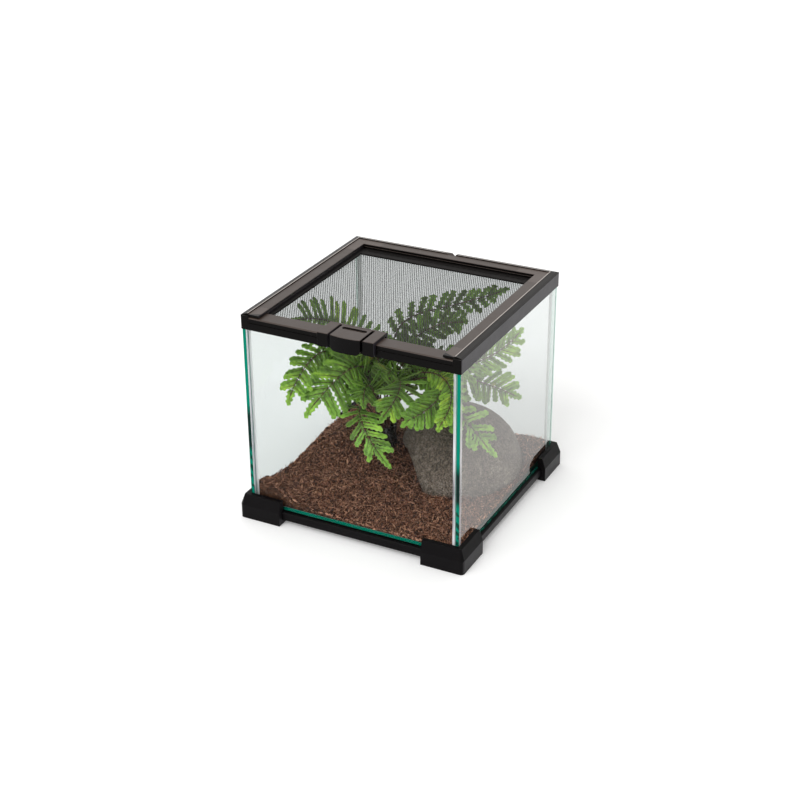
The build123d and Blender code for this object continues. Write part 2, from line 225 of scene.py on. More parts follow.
# Painted light on the frame's top: a shaded outer slope, a shaded groove and a painted highlight along the crest.
slope_shade_mat = plastic("frame_slope_shaded", (0.0045, 0.0032, 0.0028), (0.010, 0.0072, 0.0062), (0.4, 0.5), 900, 0.30)
groove_shade_mat = plastic("frame_groove_shaded", (0.0016, 0.0013, 0.0012), (0.003, 0.0025, 0.0022), (0.6, 0.75), 900, 0.05)
crest_highlight_mat = plastic("frame_crest_highlight", (0.26, 0.225, 0.20), (0.46, 0.41, 0.38), (0.3, 0.4), 900, 0.6)
# Black rubber spline round the screen, darkened further with painted shade for the recess under the rails.
ring_black_shade_mat = plastic("screen_ring_black_shaded", (0.006, 0.005, 0.005), (0.012, 0.010, 0.009), (0.55, 0.7), 700, 0.2)


def split_by_normal(ob, top, front, sides):
    """Paints a black moulding as lit and shaded copies of one plastic: lit top faces, front faces in painted shade,
    other faces in painted light between the two.
    """
    assign(ob, top, front, sides)
    me = ob.data
    normals = np.zeros(len(me.polygons) * 3)
    me.polygons.foreach_get("normal", normals)
    normals = normals.reshape(-1, 3)
    index = np.where(np.abs(normals[:, 2]) > 0.3, 0, np.where(np.abs(normals[:, 1]) > 0.6, 1, 2))
    me.polygons.foreach_set("material_index", index.astype(np.int32))
    me.update()


def dress_crest(ob, ledge):
    """The frame's top: a lit pale ledge, painted shade in the groove, on the crest's inner wall and on lower ledges,
    a painted highlight along the crest, and painted shade on the outer slope.
    """
    split_by_normal(ob, ledge, face_shade_mat, side_light_mat)
    for m in (slope_shade_mat, groove_shade_mat, crest_highlight_mat):
        ob.data.materials.append(m)
    me = ob.data
    # Slope and groove faces get painted shade, crest faces a painted highlight.
    for poly in me.polygons:
        c, nrm = poly.center / MM, poly.normal
        d = max(abs(c.x), abs(c.y))
        if c.z < 188.95 and d < 94.2 and nrm.z > 0.3:
            poly.material_index = 4
        elif c.z < 189.5 or nrm.z < 0.12:
            continue
        elif 93.32 < d < 94.45 and nrm.z > 0.97:
            poly.material_index = 5
        elif 93.0 < d <= 93.42 and nrm.z < 0.97:
            poly.material_index = 4
        elif d >= 94.2:
            poly.material_index = 3
    me.update()


# Top faces take the lit copy, front faces the painted-shade copy, other faces the painted-light copy. The top rails
# also get painted shade and a painted highlight.
for name, ob in NODES.items():
    if name == "top_rail_front":
        assign(ob, face_shade_mat)
    elif name.startswith("top_corner"):
        dress_crest(ob, corner_mat)
    elif name in ("top_rail_left", "top_rail_right", "top_rail_back"):
        dress_crest(ob, frame_top_lit_mat)
    elif name.startswith(("top_", "lid_")) or name == "latch_housing":
        split_by_normal(ob, frame_top_lit_mat, face_shade_mat, side_light_mat)
    elif name.startswith(("foot_", "base_rail_")):
        split_by_normal(ob, base_mat, base_mat, foot_side_lit)
    elif name == "latch_tongue":
        split_by_normal(ob, frame_top_lit_mat, latch_shade_mat, latch_shade_mat)
    elif name == "screen_frame":
        assign(ob, ring_black_shade_mat)

# ---------------------------------------------------------------------- glass


def clear_glass(name, tint, share, ior=1.5, smear=0.02, low=False, sheen=(0.98, 0.99, 1.0), bond=None, along="X"):
    """Thin clear pane. The front side carries the reflection of both surfaces."""
    n = Nodes(name)
    v = n.coords()
    fres = n.new("ShaderNodeFresnel", IOR=ior)
    back = n.new("ShaderNodeNewGeometry").outputs["Backfacing"]
    front = n.math("SUBTRACT", 1.0, back)
    dust = n.map(n.noise(v, 60.0, 4.0, 0.6), 0.45, 0.75, 0.0, smear)
    fac = n.math("ADD", n.math("MULTIPLY", fres.outputs[0], share), dust)
    fac = n.math("MULTIPLY", fac, front, clamp=True)
    see = n.new("ShaderNodeBsdfTransparent")
    each = tuple(math.sqrt(c) for c in tint)
    see.inputs["Color"].default_value = (*each, 1.0)
    if low:
        # a green line where the floor pane's edge shows through
        xyz = n.new("ShaderNodeSeparateXYZ")
        n.link(v, xyz.inputs[0])
        wob = n.math("MULTIPLY", n.noise(v, 160.0, 3.0, 0.6), 0.0024)
        strip = n.map(n.math("SUBTRACT", xyz.outputs["Z"], wob), 0.0128, 0.0134, 1.0, 0.0)
    gloss = n.new("ShaderNodeBsdfGlossy", Roughness=0.03)
    gloss.inputs["Color"].default_value = (*sheen, 1.0)
    m = n.new("ShaderNodeMixShader")
    n.link(fac, m.inputs[0])
    n.link(see.outputs[0], m.inputs[1])
    n.link(gloss.outputs[0], m.inputs[2])
    if low:
        line = n.new("ShaderNodeBsdfPrincipled", Roughness=0.25)
        dash = n.noise(v, 170.0, 3.0, 0.6)
        n.link(n.ramp(dash, [(0.42, (0.001, 0.010, 0.008)), (0.55, (0.002, 0.15, 0.10))]), line.inputs["Base Color"])
        under = n.new("ShaderNodeMixShader")
        n.link(n.math("MULTIPLY", strip, 0.92), under.inputs[0])
        n.link(m.outputs[0], under.inputs[1])
        n.link(line.outputs[0], under.inputs[2])
        m = under
    if bond is None:
        return n.done(m.outputs[0])
    # the sealant spread against the pane's upright ends
    pos = n.new("ShaderNodeSeparateXYZ")
    n.link(v, pos.inputs[0])
    here = pos.outputs[along[-1]]
    if along[0] == "-":
        here = n.math("MULTIPLY", here, -1.0)
    ragged = n.math("MULTIPLY", n.noise(v, 60.0, 4.0, 0.6, stretch=(1.0, 1.0, 0.3)), 0.0008)
    far_end = n.math("SUBTRACT", n.math("MULTIPLY", here, -1.0), 0.0017)
    near = n.math("ADD", n.math("MAXIMUM", here, far_end), ragged)
    edge = n.map(near, bond[0] * MM, (bond[0] + 0.35) * MM, 0.0, 1.0)
    skin = n.new("ShaderNodeBsdfPrincipled", Roughness=0.3)
    streak = n.noise(v, 130.0, 4.0, 0.65, stretch=(1.0, 1.0, 0.10))
    n.link(n.ramp(streak, [(0.36, (0.26, 0.26, 0.29)), (0.5, (0.56, 0.56, 0.59)), (0.66, (0.84, 0.84, 0.87))]), skin.inputs["Base Color"])
    cover = n.new("ShaderNodeMixShader")
    n.link(n.math("MULTIPLY", edge, n.map(streak, 0.35, 0.65, bond[1], bond[2])), cover.inputs[0])
    n.link(m.outputs[0], cover.inputs[1])
    n.link(skin.outputs[0], cover.inputs[2])
    return n.done(cover.outputs[0])


def green_edge(name, dark_from, dark_to):
    """Cut glass edge: deep green, with a painted reflection of the tank's contents: a dark stretch, and chips of
    bedding mirrored low down.
    """
    n = Nodes(name)
    v = n.coords()
    xyz = n.new("ShaderNodeSeparateXYZ")
    n.link(v, xyz.inputs[0])
    z = xyz.outputs["Z"]
    base = n.ramp(n.noise(v, 45.0, 3.0, 0.5, stretch=(1.0, 1.0, 0.15)),
                  [(0.3, (0.0004, 0.17, 0.108)), (0.7, (0.0012, 0.215, 0.142))])
    soft = n.noise(v, 25.0, 2.0, 0.5)
    zz = n.math("ADD", z, n.math("MULTIPLY", n.math("SUBTRACT", soft, 0.5), 0.012))
    low = n.map(zz, dark_from * MM, (dark_from + 6) * MM, 1.0, 0.0)
    high = n.map(zz, dark_to * MM, (dark_to + 12) * MM, 1.0, 0.0)
    band = n.math("SUBTRACT", high, low, clamp=True)
    wave = n.new("ShaderNodeTexWave", Scale=70.0, Distortion=7.0, Detail=3.0)
    wave.bands_direction = "DIAGONAL"
    wave.inputs["Detail Scale"].default_value = 2.0
    n.link(v, wave.inputs["Vector"])
    # Painted reflection: a dark band and chips of bedding seen in the glass edge.
    marks = n.math("MULTIPLY", n.map(wave.outputs["Fac"], 0.62, 0.8, 0.0, 0.85), low, clamp=True)
    col = n.mix(n.math("MULTIPLY", band, 0.93), base, (0.004, 0.010, 0.010))
    col = n.mix(marks, col, (0.003, 0.02, 0.014))
    p = n.new("ShaderNodeBsdfPrincipled", Roughness=0.16)
    p.inputs["Specular IOR Level"].default_value = 0.04
    n.link(col, p.inputs["Base Color"])
    n.link(n.bump(n.noise(v, 700.0, 2.0, 0.5), 0.1, 0.0001), p.inputs["Normal"])
    return n.done(p.outputs[0])


def milky_edge(name, light, dark):
    n = Nodes(name)
    v = n.coords()
    col = n.ramp(n.noise(v, 90.0, 4.0, 0.6, stretch=(1.0, 1.0, 0.12)), [(0.35, dark), (0.65, light)])
    p = n.new("ShaderNodeBsdfPrincipled", Roughness=0.25)
    n.link(col, p.inputs["Base Color"])
    n.link(n.bump(n.noise(v, 260.0, 3.0, 0.6, stretch=(1.0, 1.0, 0.2)), 0.25, 0.0002), p.inputs["Normal"])
    return n.done(p.outputs[0])




def far_edge():
    """Rear glass edge: pale green and half see-through."""
    n = Nodes("glass_edge_far")
    v = n.coords()
    p = n.new("ShaderNodeBsdfPrincipled", Roughness=0.2)
    n.link(n.ramp(n.noise(v, 60.0, 3.0, 0.5, stretch=(1.0, 1.0, 0.2)), [(0.3, (0.20, 0.50, 0.40)), (0.7, (0.34, 0.62, 0.52))]), p.inputs["Base Color"])
    see = n.new("ShaderNodeBsdfTransparent")
    see.inputs["Color"].default_value = (0.90, 0.97, 0.945, 1.0)
    m = n.new("ShaderNodeMixShader")
    n.link(n.map(n.noise(v, 90.0, 2.0, 0.5), 0.3, 0.7, 0.10, 0.20), m.inputs[0])
    n.link(see.outputs[0], m.inputs[1])
    n.link(p.outputs[0], m.inputs[2])
    return n.done(m.outputs[0])


glass_front = clear_glass("glass_front", (0.955, 0.975, 0.967), 0.16, 1.45, 0.006, bond=(93.3, 0.5, 0.95))
glass_side = clear_glass("glass_side", (0.95, 0.972, 0.968), 1.35, 1.5, 0.012, low=True, sheen=(1.0, 0.975, 0.965), bond=(95.3, 0.35, 0.75), along="-Y")
glass_far = clear_glass("glass_far", (0.735, 0.765, 0.765), 0.5, 1.45, 0.01)
edge_near = green_edge("glass_edge_near", 57, 88)
edge_left = green_edge("glass_edge_left", 62, 96)
edge_plain = green_edge("glass_edge_plain", -40, -40)
edge_far = far_edge()
edge_bond = milky_edge("glass_edge_bonded", (0.86, 0.84, 0.90), (0.62, 0.61, 0.67))


def dress_pane(node, axis, clear, edge, bond=None, bond_axis=None, far=False):
    ob = NODES[node]
    assign(ob, clear, edge, bond or edge_far)
    me = ob.data
    normals = np.zeros(len(me.polygons) * 3)
    me.polygons.foreach_get("normal", normals)
    q = normals.reshape(-1, 3)
    a = np.abs(q)
    index = np.where(a[:, axis] > 0.9, 0, 1)
    if bond_axis is not None:
        index = np.where(a[:, bond_axis] > 0.9, 2, index)
    if far:
        index = np.where((index == 1) & (q[:, 1] > -0.3) & (a[:, 2] < 0.5), 2, index)
    me.polygons.foreach_set("material_index", index.astype(np.int32))
    me.update()


dress_pane("pane_front", 1, glass_front, edge_plain, edge_bond, 0)
dress_pane("pane_right", 0, glass_side, edge_near, far=True)
dress_pane("pane_left", 0, glass_far, edge_left, far=True)
dress_pane("pane_back", 1, glass_far, edge_plain, far=True)
dress_pane("pane_floor", 2, glass_far, edge_plain)


def sealant():
    """Clear silicone: mostly see-through, with a pale cloudy skin."""
    n = Nodes("silicone")
    v = n.coords()
    cloud = n.noise(v, 120.0, 4.0, 0.6, stretch=(1.0, 1.0, 0.15))
    p = n.new("ShaderNodeBsdfPrincipled", Roughness=0.3)
    n.link(n.ramp(cloud, [(0.3, (0.74, 0.75, 0.75)), (0.7, (0.95, 0.95, 0.96))]), p.inputs["Base Color"])
    n.link(n.bump(n.noise(v, 300.0, 3.0, 0.6, stretch=(1.0, 1.0, 0.2)), 0.3, 0.0003), p.inputs["Normal"])
    see = n.new("ShaderNodeBsdfTransparent")
    see.inputs["Color"].default_value = (0.97, 0.98, 0.98, 1.0)
    glow = n.new("ShaderNodeBsdfTranslucent")
    glow.inputs["Color"].default_value = (0.97, 0.97, 0.98, 1.0)
    body = n.new("ShaderNodeMixShader", Fac=0.5)
    n.link(p.outputs[0], body.inputs[1])
    n.link(glow.outputs[0], body.inputs[2])
    m = n.new("ShaderNodeMixShader")
    n.link(n.map(cloud, 0.3, 0.7, 0.72, 0.95), m.inputs[0])
    n.link(see.outputs[0], m.inputs[1])
    n.link(body.outputs[0], m.inputs[2])
    return n.done(m.outputs[0])


assign(NODES["silicone_beads"], sealant())

# --------------------------------------------------------------------- screen


def hex_screen():
    """Fine sheet with staggered round holes. Each cell is a six-sided tile with a round hole."""
    lo, hi = (-83.0, -84.2), (83.0, 83.2)
    p, row = 2.12, 2.01
    hole, thick, z0 = 1.69, 0.10, 184.42
    rows = int((hi[1] - lo[1]) / row)
    cols = int((hi[0] - lo[0]) / p - 0.2)
    ang = np.radians(np.arange(6) * 60 + 30)
    ang_in = np.radians(np.arange(12) * 30 + 30)
    r_out = p / math.sqrt(3)
    tall = row / (p * math.sqrt(3) / 2)
    r_in = hole / 2
    key, verts, faces = {}, [], []

    def point(x, y, z):
        k = (round(x * 50), round(y * 50), z)
        if k not in key:
            key[k] = len(verts)
            verts.append((x, y, z))
        return key[k]

    z1 = z0 + thick
    for j in range(rows):
        y = lo[1] + (j + 0.5) * row
        for i in range(cols):
            x = lo[0] + (i + 0.5 + 0.5 * (j % 2)) * p
            o = [(x + r_out * math.cos(a), y + r_out * math.sin(a) * tall) for a in ang]
            n_ = [(x + r_in * math.cos(a), y + r_in * math.sin(a)) for a in ang_in]
            ot = [point(*q, z1) for q in o]
            ob_ = [point(*q, z0) for q in o]
            base = len(verts)
            verts.extend([(*q, z1) for q in n_])
            verts.extend([(*q, z0) for q in n_])
            it = list(range(base, base + 12))
            ib = list(range(base + 12, base + 24))
            for k in range(6):
                m = (k + 1) % 6
                a, b, c = 2 * k, 2 * k + 1, (2 * k + 2) % 12
                faces.append((ot[k], ot[m], it[c], it[b]))
                faces.append((ot[k], it[b], it[a]))
                faces.append((ob_[m], ob_[k], ib[b], ib[c]))
                faces.append((ob_[k], ib[a], ib[b]))
            for k in range(12):
                m = (k + 1) % 12
                faces.append((it[k], it[m], ib[m], ib[k]))
    # close the outer border
    from collections import Counter
    edges = Counter()
    for f in faces:
        for a, b in zip(f, f[1:] + f[:1]):
            edges[(a, b)] += 1
    at = {v: k for k, v in key.items()}
    for a, b in list(edges):
        if (b, a) not in edges and verts[a][2] == z1 and verts[b][2] == z1:
            ka, kb = at.get(a), at.get(b)
            if ka and kb:
                faces.append((b, a, key[(ka[0], ka[1], z0)], key[(kb[0], kb[1], z0)]))
    n = Nodes("screen_wire")
    v = n.coords()
    p_ = n.new("ShaderNodeBsdfPrincipled")
    p_.inputs["Specular IOR Level"].default_value = 0.2
    n.link(n.ramp(n.noise(v, 300.0, 3.0, 0.6), [(0.3, (0.005, 0.005, 0.004)), (0.7, (0.018, 0.017, 0.016))]), p_.inputs["Base Color"])
    n.link(n.map(n.noise(v, 500.0, 2.0, 0.5), 0.3, 0.7, 0.32, 0.5), p_.inputs["Roughness"])
    mat = n.done(p_.outputs[0])
    ob = new_object("screen_net", verts, faces, [mat], "lid")
    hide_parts("mesh_screen")
    return ob


hex_screen()

# ------------------------------------------------------------------- bedding


def bed_height(x, y):
    level = 19.5 - 0.02 * x + 0.03 * y
    bank = 17.0 * np.exp(-((x + 100) ** 2 + (y + 108) ** 2) / (2 * 26.0 ** 2))
    heap = 25.0 * np.exp(-((x + 52) ** 2 + (y - 28) ** 2) / (2 * 23.0 ** 2))
    drift = 6.8 * np.exp(-((x - 100) ** 2 + (y - 100) ** 2) / (2 * 38.0 ** 2))
    return level + bank + heap + drift


def lumpy(x, y):
    v = noise.noise(Vector((x * 0.055, y * 0.055, 3.1))) * 1.6
    v += noise.noise(Vector((x * 0.17, y * 0.17, 7.7))) * 1.5
    v += noise.noise(Vector((x * 0.42, y * 0.42, 1.3))) * 0.9
    return v


def bedding():
    half, n = 95.6, 150
    xs = np.linspace(-half, half, n)
    X, Y = np.meshgrid(xs, xs, indexing="ij")
    Z = bed_height(X, Y)
    for i in range(n):
        for j in range(n):
            Z[i, j] = max(14.6, Z[i, j] + lumpy(X[i, j], Y[i, j]) - 0.6)
    verts = [(X[i, j], Y[i, j], Z[i, j]) for i in range(n) for j in range(n)]
    faces = [(i * n + j, (i + 1) * n + j, (i + 1) * n + j + 1, i * n + j + 1)
             for i in range(n - 1) for j in range(n - 1)]
    rim = ([(i, 0) for i in range(n)] + [(n - 1, j) for j in range(1, n)]
           + [(i, n - 1) for i in range(n - 2, -1, -1)] + [(0, j) for j in range(n - 2, 0, -1)])
    base = len(verts)
    for i, j in rim:
        verts.append((X[i, j], Y[i, j], 14.15))
    m = len(rim)
    for k in range(m):
        a, b = rim[k], rim[(k + 1) % m]
        faces.append((a[0] * n + a[1], base + k, base + (k + 1) % m, b[0] * n + b[1]))
    faces.append(tuple(range(base + m - 1, base - 1, -1)))

    n_ = Nodes("coir_floor")
    v = n_.coords()
    c = n_.ramp(n_.noise(v, 330.0, 5.0, 0.7), [(0.3, (0.012, 0.006, 0.004)), (0.5, (0.05, 0.022, 0.013)), (0.72, (0.16, 0.075, 0.042))])
    p = n_.new("ShaderNodeBsdfPrincipled", Roughness=0.9)
    p.inputs["Specular IOR Level"].default_value = 0.15
    n_.link(c, p.inputs["Base Color"])
    n_.link(n_.bump(n_.noise(v, 500.0, 4.0, 0.7), 0.8, 0.0008), p.inputs["Normal"])
    bed = new_object("coir_bed", verts, faces, [n_.done(p.outputs[0])], "tank", smooth=True)
    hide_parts("substrate")

    # loose chips and fibres
    count, wall = 24000, 5200
    px = rng.uniform(-94.6, 94.6, count)
    py = rng.uniform(-94.6, 94.6, count)
    keep = ~inside_cave(px, py, 1.5)
    px, py = px[keep], py[keep]
    pz = bed_height(px, py) + np.array([lumpy(a, b) for a, b in zip(px, py)]) - 0.25
    pz += rng.uniform(0.0, 1.0, len(px)) ** 2 * 2.4
    heading = rng.uniform(0, 2 * math.pi, len(px))
    tilt = rng.normal(0, 0.55, len(px))
    direction = np.stack([np.cos(heading) * np.cos(tilt), np.sin(heading) * np.cos(tilt), np.sin(tilt)], 1)
    centre = np.stack([px, py, pz], 1)
    # chips pressed against the four walls
    w = rng.integers(0, 4, wall)
    t = rng.uniform(-95, 95, wall)
    sx = np.where(w == 0, -95.1, np.where(w == 1, 95.1, t))
    sy = np.where(w == 2, -95.1, np.where(w == 3, 95.1, t))
    topz = bed_height(sx, sy)
    sz = 14.8 + (topz - 14.6) * rng.uniform(0, 1, wall)
    a = rng.normal(0, 0.5, wall)
    along = np.where((w < 2)[:, None], np.stack([np.zeros(wall), np.cos(a), np.sin(a)], 1),
                     np.stack([np.cos(a), np.zeros(wall), np.sin(a)], 1))
    centre = np.concatenate([centre, np.stack([sx, sy, sz], 1)])
    direction = np.concatenate([direction, along])
    total = len(centre)
    length = np.clip(rng.lognormal(0.90, 0.45, total), 1.0, 7.5)
    width = np.clip(rng.lognormal(-0.30, 0.42, total), 0.28, 1.8)
    spin = rng.uniform(0, math.pi, total)
    bend = rng.normal(0, 0.16, total)
    tone = np.clip(rng.normal(0.42, 0.30, total), 0, 1)
    tone = np.where(np.arange(total) < len(px), tone, np.clip(0.42 + (tone - 0.42) * 2.4, 0, 1))
    width = np.where(np.arange(total) < len(px), width, width * 1.4)
    fibre = (rng.random(total) < 0.13) & (np.arange(total) < len(px))
    length = np.where(fibre, rng.uniform(5.0, 11.0, total), length)
    width = np.where(fibre, rng.uniform(0.22, 0.4, total), width)
    bend = np.where(fibre, bend * 1.6, bend)
    tone = np.where(fibre, np.clip(tone + 0.22, 0, 1), tone)
    ref = np.tile(np.array([0.0, 0.0, 1.0]), (total, 1))
    u = np.cross(direction, ref)
    u /= np.linalg.norm(u, axis=1)[:, None] + 1e-9
    w_ = np.cross(u, direction)
    rings = []
    for s, fat in ((-0.5, 0.35), (-0.2, 1.0), (0.2, 0.9), (0.5, 0.25)):
        c = centre + direction * (s * length)[:, None] + w_ * (bend * length * (0.25 - s * s))[:, None]
        for k in range(3):
            ang = spin + k * 2 * math.pi / 3
            flat = 0.55
            c2 = c + u * (np.cos(ang) * width * 0.5 * fat)[:, None] + w_ * (np.sin(ang) * width * 0.5 * fat * flat)[:, None]
            rings.append(c2)
    V = np.stack(rings, 1)                       # total x 12 x 3
    V[..., 0] = np.clip(V[..., 0], -95.85, 95.85)
    V[..., 1] = np.clip(V[..., 1], -95.85, 95.85)
    V[..., 2] = np.maximum(V[..., 2], 14.2)
    local = []
    for r in range(3):
        for k in range(3):
            m2 = (k + 1) % 3
            local.append((r * 3 + k, r * 3 + m2, (r + 1) * 3 + m2, (r + 1) * 3 + k))
    local.append((2, 1, 0))
    local.append((9, 10, 11))
    faces = [tuple(i * 12 + q for q in f) for i in range(total) for f in local]
    n_ = Nodes("coir_chip")
    at = n_.new("ShaderNodeAttribute")
    at.attribute_name = "tone"
    v = n_.coords()
    c = n_.ramp(at.outputs["Fac"], [(0.0, (0.024, 0.010, 0.007)), (0.3, (0.15, 0.060, 0.036)), (0.6, (0.36, 0.165, 0.100)), (1.0, (0.72, 0.39, 0.25))])
    c = n_.mix(0.55, c, n_.ramp(n_.noise(v, 900.0, 3.0, 0.6), [(0.3, (0.35, 0.33, 0.32)), (0.7, (1.25, 1.2, 1.15))]), "MULTIPLY")
    p = n_.new("ShaderNodeBsdfPrincipled", Roughness=0.72)
    p.inputs["Specular IOR Level"].default_value = 0.25
    n_.link(c, p.inputs["Base Color"])
    chips = new_object("coir_chips", V.reshape(-1, 3), faces, [n_.done(p.outputs[0])], "tank")
    attr = chips.data.attributes.new("tone", "FLOAT", "POINT")
    attr.data.foreach_set("value", np.repeat(tone, 12).astype(np.float32))
    return bed


CAVE = dict(x=37.1, y=33.8, z=14.0, a=57.3, b=60.7, c=59.6, turn=math.radians(12.3), wall=5.0)
MOUTH = (Vector((21.5, -21.4, 31.6)), Vector((-0.768, -0.585, -0.26)).normalized())


def cave_radius(x, y, z, grow=0.0):
    """1 on the dome's outer face, under 1 inside it."""
    dx, dy = x - CAVE["x"], y - CAVE["y"]
    c, s = math.cos(CAVE["turn"]), math.sin(CAVE["turn"])
    return np.sqrt(((c * dx + s * dy) / (CAVE["a"] + grow)) ** 2 + ((-s * dx + c * dy) / (CAVE["b"] + grow)) ** 2
                   + ((z - CAVE["z"]) / (CAVE["c"] + grow)) ** 2)


def inside_cave(x, y, grow):
    """Plan points under the shell wall itself."""
    z = 20.0
    r_out, r_in = cave_radius(x, y, z, grow), cave_radius(x, y, z, -CAVE["wall"] - grow)
    o, d = MOUTH
    cut = (x - o.x) * d.x + (y - o.y) * d.y + (z - o.z) * d.z
    return (r_out < 1) & (r_in > 1) & (cut < 1.0)


bedding()

# ----------------------------------------------------------------------- hide


def remeshed_copy(node, name, voxel, smooth_rounds):
    src = NODES[node]
    ob = bpy.data.objects.new(name, src.data.copy())
    ob.data.materials.clear()
    bpy.context.scene.collection.objects.link(ob)
    m = ob.modifiers.new("remesh", "REMESH")
    m.mode = "VOXEL"
    m.voxel_size = voxel * MM
    s = ob.modifiers.new("smooth", "SMOOTH")
    s.factor = 0.5
    s.iterations = smooth_rounds
    bake_modifiers(ob)
    ob.data.polygons.foreach_set("use_smooth", [True] * len(ob.data.polygons))
    return ob


def move_by(ob, fn):
    me = ob.data
    n = len(me.vertices)
    co, no = np.zeros(n * 3), np.zeros(n * 3)
    me.vertices.foreach_get("co", co)
    me.vertices.foreach_get("normal", no)
    co, no = co.reshape(-1, 3), no.reshape(-1, 3)
    d = np.array([fn(p / MM, q) for p, q in zip(co, no)])
    co += no * (d * MM)[:, None]
    me.vertices.foreach_set("co", co.ravel())
    me.update()


def stone():
    ob = remeshed_copy("hide_cave", "hide_dome", 1.1, 6)

    plane_o, plane_d = MOUTH

    def rough(p, nrm):
        v = Vector(p)
        d = 0.55 * noise.noise(v * 0.05) + 0.28 * noise.noise(v * 0.16) + 0.16 * noise.noise(v * 0.5)
        if p[2] < 30:
            d += 0.16 * math.sin(p[2] * 2.6 + 2.0 * noise.noise(v * 0.06)) * min(1.0, (30 - p[2]) / 8)
        return d - 0.35

    move_by(ob, rough)
    # the top of the mouth stands out as a rounded lip
    me = ob.data
    co = np.zeros(len(me.vertices) * 3)
    me.vertices.foreach_get("co", co)
    co = co.reshape(-1, 3)
    q = co / MM
    depth = -((q - np.array(plane_o)) @ np.array(plane_d))
    high = np.clip((q[:, 2] - 45.2) / 3.8, 0, 1)
    near = np.clip(1 - depth / 17.0, 0, 1)
    push = 8.2 * high * high * (3 - 2 * high) * near ** 1.7
    co += np.outer(push, np.array([-0.66, -0.50, -0.56])) * MM
    me.vertices.foreach_set("co", co.ravel())
    me.update()
    n = Nodes("hide_stone")
    v = n.coords()
    big = n.noise(v, 28.0, 4.0, 0.6)
    mid = n.noise(v, 160.0, 5.0, 0.7)
    speck = n.noise(v, 900.0, 3.0, 0.7)
    lines = n.noise(v, 60.0, 4.0, 0.6, stretch=(0.4, 0.4, 9.0))
    col = n.ramp(n.mix(0.45, big, mid), [(0.34, (0.066, 0.052, 0.042)), (0.5, (0.136, 0.110, 0.093)), (0.66, (0.250, 0.212, 0.190))])
    col = n.mix(0.85, col, n.ramp(speck, [(0.38, (0.30, 0.29, 0.28)), (0.5, (0.95, 0.95, 0.93)), (0.62, (1.62, 1.59, 1.53))]), "MULTIPLY")
    grit = n.noise(v, 420.0, 4.0, 0.75)
    col = n.mix(0.8, col, n.ramp(grit, [(0.40, (0.45, 0.44, 0.43)), (0.60, (1.42, 1.40, 1.35))]), "MULTIPLY")
    xyz = n.new("ShaderNodeSeparateXYZ")
    n.link(v, xyz.inputs[0])
    low = n.map(xyz.outputs["Z"], 0.018, 0.034, 0.7, 0.0)
    streak = n.ramp(lines, [(0.38, (0.5, 0.48, 0.44)), (0.6, (1.1, 1.1, 1.08))])
    dark = n.mix(low, (1.0, 1.0, 1.0), streak)
    col = n.mix(1.0, col, dark, "MULTIPLY")
    p = n.new("ShaderNodeBsdfPrincipled", Roughness=0.88)
    p.inputs["Specular IOR Level"].default_value = 0.25
    n.link(col, p.inputs["Base Color"])
    n.link(n.bump(n.mix(0.5, grit, speck), 0.8, 0.0007), p.inputs["Normal"])
    ob.data.materials.append(n.done(p.outputs[0]))
    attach(ob, "tank")
    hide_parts("hide_cave")


stone()


def root_clump():
    ob = remeshed_copy("fern_base", "fern_root_clump", 0.8, 4)

    def knobs(p, nrm):
        v = Vector(p)
        d = 2.4 * noise.noise(v * 0.11) + 0.8 * noise.noise(v * 0.3)
        ang = math.atan2(p[1] - 20, p[0] + 31)
        d += 0.8 * math.sin(ang * 7 + p[2] * 0.18 + 2 * noise.noise(v * 0.05))
        return d - 1.1

    move_by(ob, knobs)
    n = Nodes("root_black")
    v = n.coords()
    p = n.new("ShaderNodeBsdfPrincipled")
    n.link(n.ramp(n.noise(v, 150.0, 4.0, 0.6), [(0.35, (0.004, 0.004, 0.004)), (0.7, (0.016, 0.015, 0.015))]), p.inputs["Base Color"])
    n.link(n.map(n.noise(v, 120.0, 3.0, 0.6), 0.3, 0.7, 0.10, 0.26), p.inputs["Roughness"])
    p.inputs["Coat Weight"].default_value = 0.6
    p.inputs["Coat Roughness"].default_value = 0.1
    n.link(n.bump(n.noise(v, 90.0, 2.0, 0.4), 0.4, 0.0014), p.inputs["Normal"])
    ob.data.materials.append(n.done(p.outputs[0]))
    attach(ob, "tank")
    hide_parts("fern_base")


root_clump()

# ----------------------------------------------------------------------- fern
FERN_TOP = 50.0
